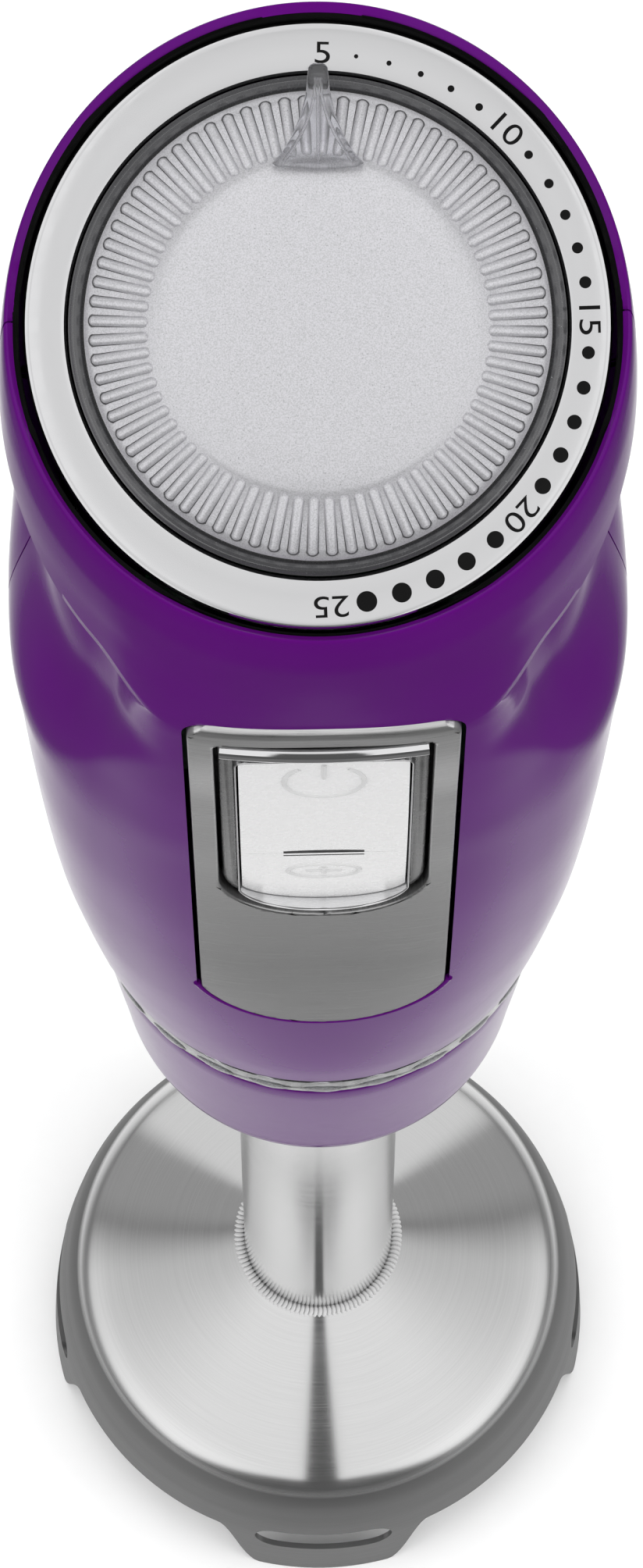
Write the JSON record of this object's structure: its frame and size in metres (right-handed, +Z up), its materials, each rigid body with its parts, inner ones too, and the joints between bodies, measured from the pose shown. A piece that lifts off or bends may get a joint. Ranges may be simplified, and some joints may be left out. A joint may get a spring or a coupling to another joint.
{
  "type": "immersion blender",
  "caption": "Corded hand blender with a slanted round head, a speed dial, power and turbo buttons, a motor and a detachable steel shaft with a slotted bell guard and blade.",
  "frame": {"origin": "on the drive axis, in the plane that the four lobes of the bell guard stand on", "axes": "+Z up along the drive axis; the front of the handle, with the buttons, faces -Y; +X is to the right seen from the front"},
  "size_m": [0.0784, 0.0784, 0.3838],
  "materials": {
    "violet_plastic": "gloss",
    "chrome_trim": "polished",
    "brushed_panel": "vertical brush",
    "polished_steel": "spun and polished",
    "blade_steel": "ground",
    "white_plastic": "semi-gloss",
    "satin_silver": "frosted",
    "smoked_plastic": "smoked, speckled",
    "clear_plastic": "clear plastic",
    "black_plastic": "moulded",
    "rubber": "matte",
    "board_laminate": "solder mask",
    "orange_plastic": "moulded",
    "zinc_steel": "zinc plated",
    "aluminium": "drawn",
    "lamination_steel": "stacked laminations",
    "copper_winding": "enamelled copper",
    "carbon": "pressed carbon",
    "bronze": "sintered"
  },
  "bodies": {
    "blending_shaft": {"shaft_collar": "violet_plastic", "shaft_tube": "polished_steel", "weld_bead": "polished_steel", "bell_guard": "polished_steel", "upper_shaft_bush": "bronze", "bearing_carrier": "blade_steel", "lower_shaft_bush": "bronze", "shaft_seal": "rubber"},
    "drive_train": {"drive_shaft": "blade_steel", "shaft_drive_dog": "white_plastic", "blade": "blade_steel", "blade_hub": "blade_steel", "blade_nut": "blade_steel"},
    "handle": {"brush_holder_left": "bronze", "brush_holder_right": "bronze", "button_bezel": "chrome_trim", "button_guide": "black_plastic", "button_panel": "brushed_panel", "circuit_board": "board_laminate", "clear_ring": "clear_plastic", "cord_gland": "rubber", "cord_terminal_block": "white_plastic", "field_coil_left": "copper_winding", "field_coil_right": "copper_winding", "front_shell": "violet_plastic", "handle_socket": "black_plastic", "heat_sink": "aluminium", "lower_motor_bearing": "zinc_steel", "lower_motor_bracket": "black_plastic", "motor_brush_left": "carbon", "motor_brush_right": "carbon", "motor_stator": "lamination_steel", "power_return_spring": "zinc_steel", "power_switch": "black_plastic", "rear_shell": "violet_plastic", "scale_plate": "chrome_trim", "shell_screw_lower_left": "zinc_steel", "shell_screw_lower_right": "zinc_steel", "shell_screw_upper_left": "zinc_steel", "shell_screw_upper_right": "zinc_steel", "smoothing_capacitor": "black_plastic", "speed_potentiometer": "aluminium", "suppression_capacitor": "orange_plastic", "turbo_return_spring": "zinc_steel", "turbo_switch": "black_plastic", "upper_motor_bearing": "bronze", "upper_motor_bracket": "black_plastic"},
    "rotor": {"motor_shaft": "zinc_steel", "motor_armature": "copper_winding", "commutator": "copper_winding", "cooling_fan": "black_plastic", "motor_drive_dog": "black_plastic"},
    "dial": {"dial_knob": "satin_silver", "dial_skirt": "smoked_plastic", "dial_pointer": "clear_plastic", "dial_shaft": "aluminium"},
    "power_button": {"power_button": "white_plastic"},
    "turbo_button": {"turbo_button": "white_plastic"}
  },
  "joints": [
    {"name": "shaft_release", "type": "slide", "parent": "blending_shaft", "child": "handle", "axis": [0, 0, 1], "range_m": [0, 0.045]},
    {"name": "motor_spin", "type": "hinge", "parent": "handle", "child": "rotor", "pos_m": [0, 0, 0.25], "axis": [0, 0, 1], "continuous": true},
    {"name": "blade_spin", "type": "hinge", "parent": "blending_shaft", "child": "drive_train", "pos_m": [0, 0, 0.1], "axis": [0, 0, 1], "continuous": true},
    {"name": "speed_dial", "type": "hinge", "parent": "handle", "child": "dial", "pos_m": [0, 0, 0.3697], "axis": [0, 0.396, -0.9182], "range_deg": [0, 178]},
    {"name": "power_press", "type": "slide", "parent": "handle", "child": "power_button", "axis": [0, 1, 0], "range_m": [0, 0.0016], "stiffness_N_per_m": 1200, "deforming": ["power_return_spring"]},
    {"name": "turbo_press", "type": "slide", "parent": "handle", "child": "turbo_button", "axis": [0, 1, 0], "range_m": [0, 0.0016], "stiffness_N_per_m": 1200, "deforming": ["turbo_return_spring"]}
  ],
  "couplings": [
    {"joint": "blade_spin", "follows": "motor_spin", "ratio": 1}
  ]
}
